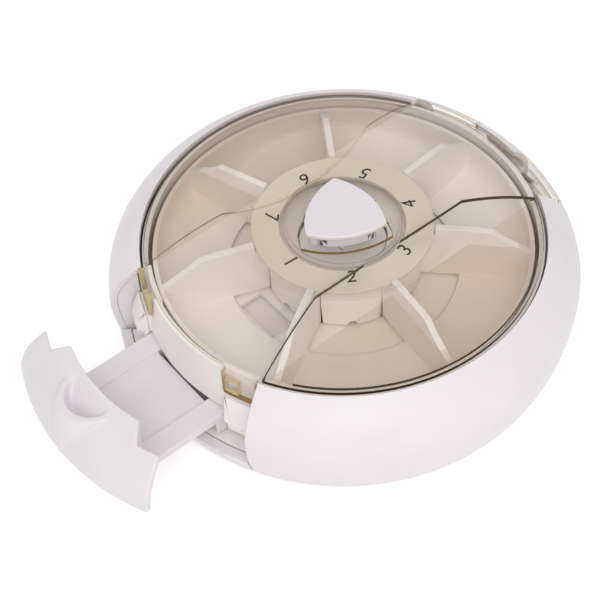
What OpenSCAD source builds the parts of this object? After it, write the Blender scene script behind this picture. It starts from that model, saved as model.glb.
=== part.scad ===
// Seven-compartment rotary pill dispenser. Millimetres, +Z up, drawer towards -Y.
// The origin is on the body axis, on the surface that the feet stand on.

/* [Body] */
// Radius of the body at its widest
body_r = 71; // [69:0.5:76]
// Height of the widest line above the table
belt_z = 20.4; // [19.5:0.1:21.5]
// How far the shoulder curve runs inward
shoulder_run = 41; // [38:0.5:44]
// Height of the shoulder curve
shoulder_rise = 22; // [21:0.5:24]
// How far the lower curve runs inward
skirt_run = 13; // [10:0.5:16]
// Height of the lower curve
skirt_rise = 27; // [25:0.5:30]
// Wall of the outer shell
shell_t = 2.2; // [1.8:0.1:2.6]
// Gap between the table and the underside of the body
foot_h = 1.2; // [0.8:0.1:1.8]
// Thickness of the base plate
base_t = 2; // [1.6:0.1:2.4]
// Half width of the rear cut-out of the shell
cut_w = 29.3; // [28.9:0.1:30.5]
// Half angle of the cut-outs at the mouth of the shell
cut_deg = 27.3; // [27.1:0.1:28.5]

/* [Dome] */
// Distance of the rim of the dome inside the widest radius
rim_in = 12.2; // [12:0.1:12.6]
// Height of the rim
rim_z = 35; // [34.9:0.1:36]
// Radius of the raised ridge
ridge_r = 34.6; // [33:0.2:36]
// Slope of the dome at its rim, degrees
rim_slope = 32; // [31:0.5:34]
// Slope of the dome at the ridge, outer side, degrees
ridge_slope = 15; // [13:0.5:17]
// Slope of the dish at the ridge, inner side, degrees
dish_slope = 24; // [22:0.5:25]
// Slope of the dish beside the button pocket, degrees
pocket_slope = 11; // [10:0.5:13]
// Wall of the dome
dome_t = 1.4; // [1.2:0.1:1.5]
// Radius of the pocket around the button
pocket_r = 17.6; // [17.2:0.1:17.8]
// Half width of the flip lid at its waist
waist_w = 16.8; // [15:0.2:18]
// Half width of the flip lid at the ridge
flare_w = 20.5; // [19.5:0.1:21]
// Seam between the flip lid and the windows
seam = 0.5; // [0.4:0.1:0.8]

/* [Hinge] */
// Distance of the hinge axis inside the widest radius
hinge_in = 3.4; // [3:0.1:3.8]
// Height of the hinge axis
hinge_z = 19.5; // [19:0.1:20.2]
// Radius of the hinge barrels
barrel_r = 2.1; // [1.9:0.1:2.2]
// Radius of the hinge pin
hinge_pin_r = 0.8; // [0.6:0.05:1]
// Half width of the rib between the two hinge legs
rib_w = 8.4; // [7:0.1:9.5]
// Length of each hinge barrel
barrel_l = 5; // [4:0.2:5.4]

/* [Tray and drawer] */
// Height of the top of the tray
tray_z = 17.25; // [17:0.05:17.3]
// Underside of the tray
tray_low = 9.2; // [9.1:0.1:10]
// Half width of the tray
tray_w = 18.6; // [17.5:0.1:18.8]
// Half width of the channel in the tray
channel_w = 11.6; // [10:0.2:13]
// Depth of the channel in the tray
channel_d = 0.9; // [0.6:0.1:1.2]
// Depth of the pill well
well_d = 6.6; // [5:0.1:6.9]
// Length of the pill well
well_l = 18; // [14:0.5:20]
// How far the drawer is out in the rest position
drawer_out = 27; // [20:0.5:30]
// Half angle of the drawer front
front_deg = 25; // [24:0.1:25.5]
// How far the drawer front stands out beyond the body
front_out = 4.5; // [3:0.1:5]
// Height of the lower edge of the drawer front
front_low = 18; // [17.5:0.1:19]
// Wall of the drawer front
front_t = 2.2; // [1.8:0.1:2.6]
// Thickness of the tray in front of the pill well
tray_t = 2.9; // [2.4:0.1:3.4]
// Half angle of the tongue of the drawer front
tongue_deg = 16; // [14:0.5:16.2]
// Radius of the finger scoop at its rim
scoop_r = 9.75; // [8.5:0.25:10.5]
// Height of the rim of the finger scoop
scoop_z = 33.5; // [32.5:0.1:34]

/* [Frame] */
// Height of the floor under the carousel
floor_z = 19.1; // [19:0.1:19.3]
// Thickness of that floor
floor_t = 1.5; // [1.3:0.1:1.6]
// How far the frame wall stands outside the rim of the dome
wall_out = 0.5; // [0.2:0.1:0.6]
// Wall of the frame
wall_t = 1.8; // [1.4:0.1:2]
// Outer radius of the centre boss
boss_r = 10; // [9.5:0.1:10.5]
// Bore of the centre boss
boss_bore = 7; // [6.6:0.1:7.2]
// Top of the centre boss
boss_top = 28.3; // [28:0.1:28.6]

/* [Carousel] */
// Number of compartments
cups = 7; // [5:1:8]
// Distance of the carousel inside the rim of the dome
cup_in = 2.2; // [1.9:0.1:3.2]
// Outer radius of the carousel hub
hub_r = 23.5; // [23:0.1:24.5]
// Wall of the carousel
cup_t = 1.4; // [1.2:0.1:1.8]
// Thickness of a divider
divider_t = 2; // [1.4:0.1:2.4]
// Height of the dividers beside the number disc
divider_z = 39.4; // [38.8:0.1:39.8]
// Outer radius of the number disc
disc_r = 26.9; // [26:0.1:28]
// Top of the number disc
disc_z = 38.5; // [38:0.1:38.6]
// Thickness of the number disc
disc_t = 1.3; // [1:0.1:1.5]
// Angle of the first divider
first_deg = 249.35; // [246:0.05:252]

/* [Button] */
// Corner radius of the three-sided button, centre to corner
cap_r = 13.6; // [12.5:0.1:13.8]
// Top of the button
cap_z = 43.5; // [43:0.1:44.5]
// Thickness of the button cap
cap_t = 2.2; // [1.8:0.1:2.6]
// Travel of the button
travel = 4.5; // [4:0.1:4.6]
// Side of the twisted square bar
bar_side = 6; // [5:0.1:6.4]
// Wire of the return spring
wire_d = 0.8; // [0.6:0.05:1]

/* [Clearances] */
// Radial clearance of a running fit
run_fit = 0.06; // [0.02:0.01:0.1]
// Gap between pieces that are seated
seat_gap = 0.3; // [0.2:0.05:0.4]
// Gap between the twisted bar and its bore
bar_gap = 0.3; // [0.2:0.05:0.4]

/* [Hidden] */
$fn = 96;
e = 0.01;
far = 100;
tall = 60;
front = 270;
white = [0.93, 0.91, 0.92];
tint = [0.72, 0.64, 0.52, 0.55];
steel = [0.72, 0.73, 0.75];
pitch = 360 / cups;

// Sizes that follow the body
rim_r = body_r - rim_in;
hinge_y = body_r - hinge_in;
wall_r = rim_r + wall_out;
cup_r = rim_r - cup_in;
notch_r = body_r - 5.5;
rail_r = notch_r - 0.6;
tongue_in = notch_r - 1.7;
tray_r = tongue_in - seat_gap;
foot_at = body_r - 16;

// Body outline
base_z = foot_h + base_t;
mouth_r = rim_r + 1.2;
lip_z = 8.6;
foot_r = 5;
front_run = 24.2;
front_rise = 19.5;

// One point of the body outline, d inside the outer surface
function shoulder(a, d) = [body_r - shoulder_run + (shoulder_run - d) * cos(a),
                           belt_z + (shoulder_rise - d) * sin(a)];
function skirt(a, d) = [body_r - skirt_run + (skirt_run - d) * cos(a),
                        belt_z - (skirt_rise - d) * sin(a)];
function shoulder_end(r, d) = acos((r - body_r + shoulder_run) / (shoulder_run - d));
function skirt_end(z, d) = asin((belt_z - z) / (skirt_rise - d));
// The outline from height z up to radius r
function outline(z, r, d) =
    let (low = skirt_end(z, d), high = shoulder_end(r, d), n = 8, m = 10)
    concat([for (i = [n:-1:1]) skirt(low * i / n, d)], [for (i = [0:m]) shoulder(high * i / m, d)]);
function reversed(list) = [for (i = [len(list) - 1:-1:0]) list[i]];

// Dome outline: two arcs that meet at the ridge
slope_r = (rim_r - ridge_r) / (sin(rim_slope) - sin(ridge_slope));
ridge_z = rim_z + slope_r * (cos(ridge_slope) - cos(rim_slope));
dish_r = (ridge_r - pocket_r) / (sin(dish_slope) - sin(pocket_slope));
rim_low = rim_z - 1.3;
rim_w = 1.7;
function slope_point(a) = [ridge_r + slope_r * (sin(a) - sin(ridge_slope)),
                           ridge_z - slope_r * (cos(ridge_slope) - cos(a))];
function dish_point(a) = [ridge_r - dish_r * (sin(dish_slope) - sin(a)),
                          ridge_z - dish_r * (cos(a) - cos(dish_slope))];
dome_curve = concat([for (i = [0:5]) dish_point(pocket_slope + (dish_slope - pocket_slope) * i / 6)],
                    [for (i = [0:8]) slope_point(ridge_slope + (rim_slope - ridge_slope) * i / 8)]);
pocket_low = 37.4;
pocket_floor = 38.6;
hole_r = cap_r + 2;

// Frame
floor_low = floor_z - floor_t;
wall_z = rim_low - seat_gap;
wall_slope = 0.116;
function wall_at(z) = wall_r + (rim_z - 0.5 - z) * wall_slope;
rail_z = 17.3;
rail_w = 28.8;
rail_gap = 0.4;
tongue_out_deg = tongue_deg + 2.7;
stop_y = 26.4 - body_r;
post_r = rim_r + 3;
tab_in = rim_r + 0.8;
tab_t = 1.6;
tab_low = 25.5;
tab_deg = [16.9, 26.8];
step_r = tab_in - 1.2;
pillar_r = 3.6;
pillar_xy = [(body_r + 1) / 2, (body_r + 1) / 2 - 6];
chute = [8, -hub_r - 10, -hub_r - 2.1];
detent_r = hub_r - cup_t / 2;
detent_deg = first_deg + 4.5 * pitch - 360;

// Carousel
cup_low = 19.6;
sleeve_top = 26.2;
web_low = 24.6;
hub_top = disc_z - disc_t - 0.2;
wall_top = 31.5;
disc_in = pocket_r + 1;
clip_z = [26.5, 27.3];

// Mechanism
driver_z = [28.6, 31.2];
driver_r = hub_r - 10.7;
flange_z = [25.2, 28.1];
bar_turn = pitch / travel;
stem_top = 40.8;
skirt_low = 37.6;
tooth_z = [28.7, 31.2];
tooth_out = hub_r - 6;
tooth_in = tooth_out - 2.4;
pawl_z = [28.9, 30.7];
pawl_r = driver_r + 0.8;
spring_r = 5.2;
spring_turns = 4;

// Tools that cut and shape
module wedge(from, to, r = far, z = 0, h = tall) {
    mid = (from + to) / 2;
    reach = r / cos((to - from) / 4);
    translate([0, 0, z])
    linear_extrude(h)
    polygon([[0, 0], [r * cos(from), r * sin(from)], [reach * cos(mid), reach * sin(mid)],
             [r * cos(to), r * sin(to)]]);
}

module tube(r_in, r_out, z0, z1) {
    rotate_extrude()
    translate([r_in, z0])
    square([r_out - r_in, z1 - z0]);
}

module slab(x0, x1, y0, y1, z0, z1) {
    translate([x0, y0, z0])
    cube([x1 - x0, y1 - y0, z1 - z0]);
}

module mirrored() {
    children();
    mirror([1, 0, 0]) children();
}

// Ring that follows the body outline, between depths d0 and d1 under its surface
module body_ring(z, r, d0, d1) {
    rotate_extrude()
    polygon(concat(outline(z, r, d0), reversed(outline(z, r, d1))));
}

// Space of the rear cut-out, straight beside the hinge and narrowing towards the dome
module rear_gap(w, deg, z0 = -1) {
    intersection() {
        slab(-w, w, 0, far, z0, tall);
        wedge(90 - deg, 90 + deg, far, z0);
    }
}

// Three-sided prism with bulging sides: the overlap of three discs
module bulged_triangle(corner, z0, z1) {
    intersection_for (a = [30, 150, 270])
        translate([corner * cos(a), corner * sin(a), z0])
        cylinder(r = corner * sqrt(3), h = z1 - z0);
}

// Plan of the flip lid: a waisted strip that flares to the front and the rear
module strip(grow) {
    flare = 2 * (flare_w - waist_w) / ridge_r / 0.8;
    crease_y = ridge_r * 0.8;
    reach = rim_r + 6;
    half = [for (i = [-6:6]) [waist_w + (flare_w - waist_w) * pow(i / 6, 2) + grow, crease_y * i / 6]];
    side = concat([[flare_w + grow + (reach - crease_y) * flare, -reach]], half,
                  [[flare_w + grow + (reach - crease_y) * flare, reach]]);
    linear_extrude(tall)
    polygon(concat(side, [for (p = reversed(side)) [-p[0], p[1]]]));
}

// Dome with its rim; the list adds what closes the outline towards the axis
module dome(inner = []) {
    under = [for (p = dome_curve) if (p[0] < rim_r - rim_w) [p[0], p[1] - dome_t]];
    rotate_extrude()
    polygon(concat(inner, dome_curve, [[rim_r, rim_low], [rim_r - rim_w, rim_low],
                                       [rim_r - rim_w, rim_z - 0.3]], reversed(under)));
}

// Housing
module base_tray() {
    color(white)
    difference() {
        union() {
            cylinder(r = skirt(skirt_end(foot_h, shell_t), shell_t)[0] - seat_gap, h = base_z);
            intersection() {
                body_ring(foot_h, mouth_r, 0, shell_t + 1);
                wedge(front - cut_deg + 0.4, front + cut_deg - 0.4, far, 0, lip_z);
            }
            mirrored() slab(13, 15, 10 - body_r, 8, base_z - e, tray_low - seat_gap);
            for (x = [-1, 1], y = [-1, 1])
                translate([x * pillar_xy[0], y * pillar_xy[1], base_z - e])
                cylinder(r = pillar_r, h = 2);
        }
        translate([0, 0, -e]) cylinder(r = far, h = foot_h + e);
        for (x = [-1, 1], y = [-1, 1])
            translate([x * pillar_xy[0], y * pillar_xy[1], 0]) {
                cylinder(r = 3.1, h = foot_h + 2);
                cylinder(r = 1.6, h = 10);
            }
        for (a = [45:90:359])
            rotate(a)
            translate([foot_at, 0, 0])
            cylinder(r = foot_r + seat_gap, h = foot_h + 0.6);
    }
}

module rubber_feet() {
    color([0.25, 0.25, 0.26])
    for (a = [45:90:359])
        rotate(a)
        translate([foot_at, 0, 0])
        cylinder(r = foot_r, h = foot_h + 0.5);
}

module base_screws() {
    color(steel)
    for (x = [-1, 1], y = [-1, 1])
        translate([x * pillar_xy[0], y * pillar_xy[1], foot_h + 0.3])
        difference() {
            union() {
                cylinder(r = 2.7, h = 1.6);
                cylinder(r = 1.25, h = 11);
            }
            translate([0, 0, -e]) cube([3.2, 0.7, 1.2], center = true);
            translate([0, 0, -e]) cube([0.7, 3.2, 1.2], center = true);
        }
}

module outer_shell() {
    rib_in = mouth_r + 2.6;
    ring_out = skirt(skirt_end(4, shell_t), shell_t)[0] + 0.5;
    color(white)
    difference() {
        union() {
            difference() {
                body_ring(foot_h, mouth_r, 0, shell_t);
                difference() {
                    rear_gap(cut_w, cut_deg, hinge_z - 3.2);
                    difference() {
                        slab(-rib_w, rib_w, 0, far, 0, tall);
                        cylinder(r = rib_in, h = tall);
                    }
                }
            }
            tube(mouth_r + 1.5, ring_out, base_z + seat_gap, base_z + 1.8);
            intersection() {
                slab(-rib_w, rib_w, hinge_y - 2.4, body_r, hinge_z - 2.6, hinge_z + 2.6);
                cylinder(r = body_r - shell_t / 2, h = tall);
            }
        }
        wedge(front - cut_deg, front + cut_deg, far, -e);
        translate([-rib_w - 1, hinge_y, hinge_z])
        rotate([0, 90, 0])
        cylinder(r = hinge_pin_r + run_fit, h = 2 * rib_w + 2, $fn = 48);
    }
}

module chassis() {
    tab_span = [tab_deg[0] - 1, tab_deg[1] + 1];
    color(white)
    difference() {
        union() {
            cylinder(r = wall_at(floor_z), h = floor_z);
            rotate_extrude()
            polygon([[wall_at(rail_z), rail_z], [wall_at(wall_z), wall_z],
                     [wall_at(wall_z) - wall_t, wall_z], [wall_at(floor_z) - wall_t, floor_z - e],
                     [wall_at(floor_z) - wall_t, rail_z]]);
            mirrored() intersection() {
                tube(step_r - 1.4, step_r + 1, floor_z - e, wall_z);
                wedge(front + tab_span[0] - 1, front + tab_span[1] + 1);
            }
            mirrored() intersection() {
                tube(step_r, post_r, rail_z - e, tab_low - 0.5);
                wedge(front + tab_deg[0] + 0.7, front + tab_deg[1] - 0.3);
            }
            cylinder(r = boss_r, h = boss_top);
            for (x = [-1, 1], y = [-1, 1])
                translate([x * pillar_xy[0], y * pillar_xy[1], base_z + 2 + seat_gap])
                cylinder(r = pillar_r, h = floor_low);
            mirrored() intersection() {
                union() {
                    slab(tray_w + rail_gap, rail_w, -far, stop_y, tray_low, floor_z - e);
                    slab(tray_w + 2.3, rail_w, stop_y - e, -10, tray_low, floor_z - e);
                }
                union() {
                    difference() {
                        cylinder(r = rail_r, h = rail_z);
                        difference() {
                            wedge(front - tongue_out_deg - 1, front + tongue_out_deg + 1);
                            cylinder(r = tongue_in - rail_gap, h = tall);
                        }
                    }
                    cylinder(r = wall_at(floor_z), h = floor_z);
                }
            }
        }
        // The space under the floor stays open but for pillars and rails
        difference() {
            translate([0, 0, -e]) cylinder(r = wall_at(floor_z) + 1, h = floor_low + e);
            for (x = [-1, 1], y = [-1, 1])
                translate([x * pillar_xy[0], y * pillar_xy[1], base_z + 2 + seat_gap])
                cylinder(r = pillar_r, h = tall);
            mirrored() {
                slab(tray_w + rail_gap, rail_w, -far, stop_y, tray_low, tall);
                slab(tray_w + 2.3, rail_w, stop_y - e, -10, tray_low, tall);
            }
        }
        // Carousel well
        difference() {
            translate([0, 0, floor_z]) cylinder(r = step_r - 1.4, h = tall);
            cylinder(r = boss_r, h = boss_top);
        }
        // Room behind the two latch tabs
        mirrored() intersection() {
            tube(step_r, far, tab_low - 0.5, tall);
            wedge(front + tab_span[0], front + tab_span[1]);
        }
        translate([0, 0, floor_z]) cylinder(r = boss_bore, h = tall);
        tube(boss_r - 0.8, boss_r + 1, clip_z[0] - 0.1, clip_z[1] + 0.1);
        slab(-chute[0], chute[0], chute[1], chute[2], 0, tall);
        for (x = [-1, 1], y = [-1, 1])
            translate([x * pillar_xy[0], y * pillar_xy[1], 0])
            cylinder(r = 1.3, h = 13);
        intersection() {
            tube(detent_r - 1.6, detent_r + 1.6, floor_z - 0.9, tall);
            wedge(detent_deg - 24, detent_deg + 24);
        }
    }
    // Keys of the boss and catches of the latch tabs
    color(white) {
        for (s = [0, 180])
            rotate(s)
            slab(boss_bore - 0.9, boss_bore + 0.5, -0.8, 0.8, floor_z, boss_top);
        mirrored() intersection() {
            tube(step_r - 0.5, tab_in - 0.5, 27.6, 29.8);
            wedge(front + 17.8, front + 20.6);
        }
    }
}

module window(side) {
    color(tint)
    intersection() {
        difference() {
            dome();
            strip(seam);
            cylinder(r = pocket_r + seam, h = tall);
        }
        slab(side > 0 ? 0 : -far, side > 0 ? far : 0, -far, far, 0, tall);
    }
}

module window_left() window(-1);
module window_right() window(1);

module hinge_pin() {
    reach = rib_w + barrel_l - 0.2;
    color(steel)
    translate([-reach, hinge_y, hinge_z])
    rotate([0, 90, 0])
    cylinder(r = hinge_pin_r, h = 2 * reach, $fn = 48);
}

module flip_lid() {
    leg_deg = cut_deg - 0.5;
    color(tint)
    difference() {
        union() {
            intersection() {
                dome([[pocket_r, pocket_low], [0, pocket_low], [0, pocket_floor],
                      [hole_r + 0.5, pocket_floor]]);
                union() {
                    strip(0);
                    cylinder(r = pocket_r + 0.1, h = tall);
                }
            }
            // Latch tabs at the front
            mirrored() intersection() {
                union() {
                    tube(tab_in, tab_in + tab_t, tab_low, rim_z);
                    tube(rim_r - rim_w, tab_in + tab_t, rim_low, rim_z);
                }
                wedge(front + tab_deg[0], front + tab_deg[1]);
            }
            // Rear edge and hinge legs
            intersection() {
                union() {
                    tube(rim_r - rim_w, mouth_r + 0.8, rim_low, rim_z);
                    difference() {
                        body_ring(hinge_z, mouth_r, 0, 2);
                        difference() {
                            slab(-rib_w - 0.6, rib_w + 0.6, 0, far, 0, tall);
                            cylinder(r = mouth_r + 1.8, h = tall);
                        }
                    }
                }
                rear_gap(cut_w - 0.5, leg_deg);
            }
            mirrored()
            translate([rib_w + 0.6, hinge_y, hinge_z])
            rotate([0, 90, 0])
            cylinder(r = barrel_r, h = barrel_l, $fn = 48);
        }
        bulged_triangle(hole_r, 0, tall);
        mirrored() intersection() {
            tube(tab_in - 1, tab_in + tab_t + 1, tab_low + 1.3, tab_low + 6.3);
            wedge(front + 17.6, front + 21.6);
        }
        mirrored()
        translate([rib_w + 0.5, hinge_y, hinge_z])
        rotate([0, 90, 0])
        cylinder(r = hinge_pin_r + run_fit, h = barrel_l - 0.5, $fn = 48);
    }
}

// Drawer, modelled closed and drawn at its rest position
module drawer_tray() {
    well_y = chute[1] - 0.5;
    tail_y = 6;
    hollow_y = 11 - body_r;
    color(white)
    translate([0, -drawer_out, 0])
    difference() {
        union() {
            intersection() {
                slab(-tray_w, tray_w, -far, tail_y, tray_low, tray_z);
                cylinder(r = tray_r, h = tall);
            }
            mirrored() slab(tray_w - e, tray_w + 1.8, tail_y - 5, tail_y, tray_low, tray_low + 4);
        }
        slab(-channel_w, channel_w, -far, well_y + well_l, tray_z - channel_d, tall);
        slab(-channel_w, channel_w, well_y, well_y + well_l, tray_z - well_d, tall);
        // Hollow underside, either side of the well
        mirrored() slab(channel_w + 4.4, tray_w - 1.5, hollow_y, tail_y - 1.5, 0, tray_z - 2);
        slab(-channel_w, channel_w, hollow_y, well_y - 1.5, 0, tray_z - channel_d - 1.6);
        slab(-far, far, -far, well_y - 1.5, 0, tray_z - tray_t);
    }
}

// Outline of the drawer front, d inside its surface: a curve that swells beyond the shell
function front_point(a, d) = [body_r + front_out - front_run + (front_run - d) * cos(a),
                              front_low - 1 + (front_rise - d) * sin(a)];
function front_line(d) =
    let (low = asin(1 / (front_rise - d)),
         high = acos((mouth_r - body_r - front_out + front_run) / (front_run - d)), n = 10)
    [for (i = [0:n]) front_point(low + (high - low) * i / n, d)];

module drawer_front() {
    scoop_y = 9 - body_r;
    tip = [0, -body_r - front_out + 0.1, front_low + 0.3];
    tongue_low = tray_z - tray_t;
    color(white)
    translate([0, -drawer_out, 0])
    difference() {
        union() {
            // Curved front, open behind, that covers the gap in the shell
            intersection() {
                rotate_extrude() polygon(concat(front_line(0), reversed(front_line(front_t))));
                wedge(front - front_deg, front + front_deg);
                difference() {
                    cylinder(r = far, h = tall);
                    cylinder(r = notch_r, h = tall);
                }
            }
            // Tongue that reaches up to the dome
            intersection() {
                rotate_extrude()
                polygon(concat(front_line(0), [[mouth_r + 0.1, rim_z - 0.3], [tongue_in, rail_z],
                                               [tongue_in, tongue_low], [notch_r + 4, tongue_low]]));
                tongue_plan();
            }
            hull() {
                translate([0, scoop_y, scoop_z - 0.6]) cylinder(r = scoop_r, h = 0.6, $fn = 32);
                translate(tip) cylinder(r = 0.5, h = 0.2, $fn = 12);
            }
        }
        // Nothing of the scoop reaches behind the tongue
        rotate_extrude()
        polygon([[0, 0], [tongue_in, 0], [tongue_in, rail_z], [mouth_r + 0.1, rim_z - 0.3],
                 [mouth_r + 0.1, tall], [0, tall]]);
        // Hollow of the scoop
        intersection() {
            translate([0, scoop_y, scoop_z - 8])
            cylinder(r1 = scoop_r - 4.6, r2 = scoop_r - 1.8, h = 8 + e);
            translate([0, -mouth_r - 0.9, rim_z])
            rotate([45, 0, 0])
            slab(-far, far, -far, 0, 0, far);
        }
        // Hollow behind the tongue, open below
        intersection() {
            rotate_extrude()
            polygon([[tongue_in + 1.8, 0], [notch_r + 6, 0], [notch_r + 6, front_low + 1.4],
                     [tongue_in + 1.8, front_low + 4.4]]);
            wedge(front - tongue_deg + 2, front + tongue_deg - 2);
        }
    }
}

module tongue_plan() {
    in_p = [mouth_r * sin(tongue_deg), -mouth_r * cos(tongue_deg)];
    out_p = [notch_r * sin(tongue_out_deg), -notch_r * cos(tongue_out_deg)];
    linear_extrude(tall)
    polygon([[0, 0], [in_p[0] - 2, in_p[1] + 8], in_p, out_p, [out_p[0], -far],
             [-out_p[0], -far], [-out_p[0], out_p[1]], [-in_p[0], in_p[1]], [2 - in_p[0], in_p[1] + 8]]);
}

// Carousel
module carousel() {
    floor_in = cup_r - 21.6;
    floor_turn = 6;
    floor_n = 6;
    knee = cup_r - cup_t - floor_turn;
    hub_in = hub_r - cup_t - 0.2;
    hub = [[boss_r + run_fit, cup_low], [boss_r + 2, cup_low], [boss_r + 2, web_low], [hub_in, web_low],
           [hub_in, cup_low], [hub_r, cup_low], [hub_r, hub_top], [hub_in, hub_top],
           [hub_in, sleeve_top], [boss_r + run_fit, sleeve_top]];
    // Floor of the cups: level, then a fillet up to the wall
    fillet = [for (i = [0:floor_n]) let (a = 90 * i / floor_n)
              [knee + floor_turn * sin(a), cup_low + 1.2 + floor_turn * (1 - cos(a))]];
    cup = concat([[cup_r, cup_low], [floor_in, cup_low], [floor_in, cup_low + 0.6]], fillet,
                 [[cup_r - cup_t, wall_top], [cup_r, wall_top]]);
    color(white)
    difference() {
        union() {
            rotate_extrude() polygon(hub);
            rotate_extrude() polygon(cup);
            for (i = [0:cups - 1])
                rotate(first_deg + i * pitch)
                divider();
        }
        for (i = [0:cups - 1])
            rotate(detent_deg + i * pitch)
            translate([hub_r - 5, 0, cup_low])
            rotate([0, 90, 0])
            cylinder(r = 1.4, h = 8, $fn = 32);
    }
}

module divider() {
    // Its edges stand just clear of the planes of the hub and the cup
    low = cup_low + 0.2;
    high = hub_top - 0.2;
    rotate([90, 0, 0])
    translate([0, 0, -divider_t / 2])
    linear_extrude(divider_t)
    polygon([[hub_r - 0.8, low], [cup_r - 0.5, low], [cup_r - 0.5, wall_top - 0.3],
             [cup_r - 2.4, wall_top + 0.8], [cup_r - 9.1, 36], [cup_r - 12.7, divider_z - 0.3],
             [cup_r - 18.6, divider_z],
             [disc_r + 0.4, divider_z], [disc_r + 0.2, high], [hub_r - 0.8, high]]);
}

module number_disc() {
    color([0.88, 0.85, 0.8])
    union() {
        tube(disc_in, disc_r, disc_z - disc_t, disc_z);
        tube(hub_r - cup_t - 2, hub_r - cup_t - 0.4, disc_z - disc_t - 2, disc_z - disc_t + e);
    }
}

module ratchet_ring() {
    out = hub_r - cup_t - 0.35;
    bore = tooth_out - 0.5;
    color([0.85, 0.84, 0.82])
    union() {
        tube(bore, out, sleeve_top + 0.05, driver_z[1] + 1.8);
        tube(driver_r + 0.6, bore + 0.5, driver_z[1] + seat_gap, driver_z[1] + 1.5);
        for (i = [0:cups - 1])
            rotate(i * pitch)
            translate([0, 0, tooth_z[0]])
            linear_extrude(tooth_z[1] - tooth_z[0] + 1)
            polygon([[tooth_in, 0], [tooth_out, 0], [tooth_out * cos(22), -tooth_out * sin(22)]]);
    }
}

module glide_washer() {
    color([0.95, 0.95, 0.93])
    tube(boss_r + 0.1, boss_r + 2, floor_z + 0.05, cup_low - 0.1);
}

module retaining_clip() {
    color(steel)
    difference() {
        tube(boss_r - 0.7, boss_r + 2, clip_z[0], clip_z[1]);
        wedge(80, 100);
    }
}

// Square bar that turns once per pitch over the travel of the button
module twisted_bar(side, z0, z1) {
    rotate(-bar_turn * z0)
    translate([0, 0, z0])
    linear_extrude(height = z1 - z0, twist = bar_turn * (z1 - z0), slices = ceil((z1 - z0) * 2.5),
                   segments = 4)
    square(side, center = true);
}

module index_driver() {
    color([0.8, 0.82, 0.85])
    difference() {
        union() {
            tube(0, driver_r, driver_z[0], driver_z[1]);
            tube(boss_r + run_fit, boss_r + 2, clip_z[1] + seat_gap, driver_z[0] + e);
        }
        twisted_bar(bar_side + 2 * bar_gap, driver_z[0] - 0.5, driver_z[1] + 0.5);
    }
}

// Spring ring round the driver; each arm rests behind a ratchet tooth
module pawl_ring() {
    tip = tooth_out - 1.1;
    tip_deg = 2;
    root_deg = 46;
    steps = 8;
    function arm(i, t) = let (a = tip_deg + (root_deg - tip_deg) * i / steps,
                              r = pawl_r + (tip - pawl_r) * pow(1 - i / steps, 1.4) - t)
        [r * cos(a), r * sin(a)];
    color(steel)
    union() {
        tube(driver_r + run_fit, pawl_r, pawl_z[0], pawl_z[1]);
        for (k = [0, round(cups / 3), round(cups * 2 / 3)])
            rotate(k * pitch)
            translate([0, 0, pawl_z[0]])
            linear_extrude(pawl_z[1] - pawl_z[0])
            polygon(concat([for (i = [0:steps]) arm(i, 0)], [for (i = [steps:-1:0]) arm(i, 0.7)]));
    }
}

module button_stem() {
    color(white)
    union() {
        difference() {
            translate([0, 0, flange_z[0]])
            cylinder(r = boss_bore - run_fit - 0.02, h = flange_z[1] - flange_z[0]);
            for (s = [0, 180])
                rotate(s)
                slab(boss_bore - 1.2, boss_bore + 1, -1.1, 1.1, 0, tall);
        }
        twisted_bar(bar_side, flange_z[1] - e, skirt_low - 1);
        translate([0, 0, skirt_low - 1.3]) cylinder(r = 4.6, h = stem_top - skirt_low + 1.3);
    }
}

module button_cap() {
    color([0.95, 0.94, 0.95])
    difference() {
        union() {
            bulged_triangle(cap_r, cap_z - cap_t, cap_z);
            difference() {
                bulged_triangle(cap_r - 2.2, skirt_low, cap_z - cap_t + e);
                bulged_triangle(cap_r - 3.8, 0, cap_z - cap_t);
            }
            tube(4.7, 6.2, skirt_low, cap_z - cap_t + e);
        }
        cylinder(r = 4.7, h = stem_top + 0.2);
    }
}

// Helical tube: rings of six points, joined in turn and capped at both ends
module coil(r, wire, z0, z1, turns) {
    sides = 6;
    steps = 16 * turns;
    rise = z1 - z0 - wire;
    points = [for (i = [0:steps], k = [0:sides - 1])
              let (a = 360 * turns * i / steps, b = 360 * k / sides, c = r + wire / 2 * cos(b))
              [c * cos(a), c * sin(a), z0 + wire / 2 + rise * i / steps + wire / 2 * sin(b)]];
    skin = [for (i = [0:steps - 1], k = [0:sides - 1])
            let (n = (k + 1) % sides, p = i * sides)
            each [[p + k, p + sides + k, p + sides + n], [p + k, p + sides + n, p + n]]];
    last = steps * sides;
    caps = [for (k = [1:sides - 2]) each [[0, k, k + 1], [last, last + k + 1, last + k]]];
    polyhedron(points, concat(skin, caps));
}

module return_spring() {
    color(steel)
    coil(spring_r, wire_d, floor_z + 0.1, flange_z[0] - 0.1, spring_turns);
}

module detent_spring() {
    color(steel)
    intersection() {
        union() {
            tube(detent_r - 1.2, detent_r + 1.2, floor_z - 0.85, floor_z - 0.35);
            rotate(detent_deg)
            translate([detent_r - 1.1, 0, cup_low])
            rotate([0, 90, 0])
            cylinder(r = 1.1, h = 2.2, $fn = 32);
        }
        wedge(detent_deg - 22, detent_deg + 22);
    }
}

base_tray();
rubber_feet();
base_screws();
outer_shell();
chassis();
window_left();
window_right();
hinge_pin();
flip_lid();
drawer_tray();
drawer_front();
carousel();
number_disc();
ratchet_ring();
glide_washer();
retaining_clip();
index_driver();
pawl_ring();
button_stem();
button_cap();
return_spring();
detent_spring();
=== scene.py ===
import bpy
import bmesh
from math import sin, cos, tan, asin, acos, pi, radians, sqrt
from mathutils import Vector, Matrix


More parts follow.
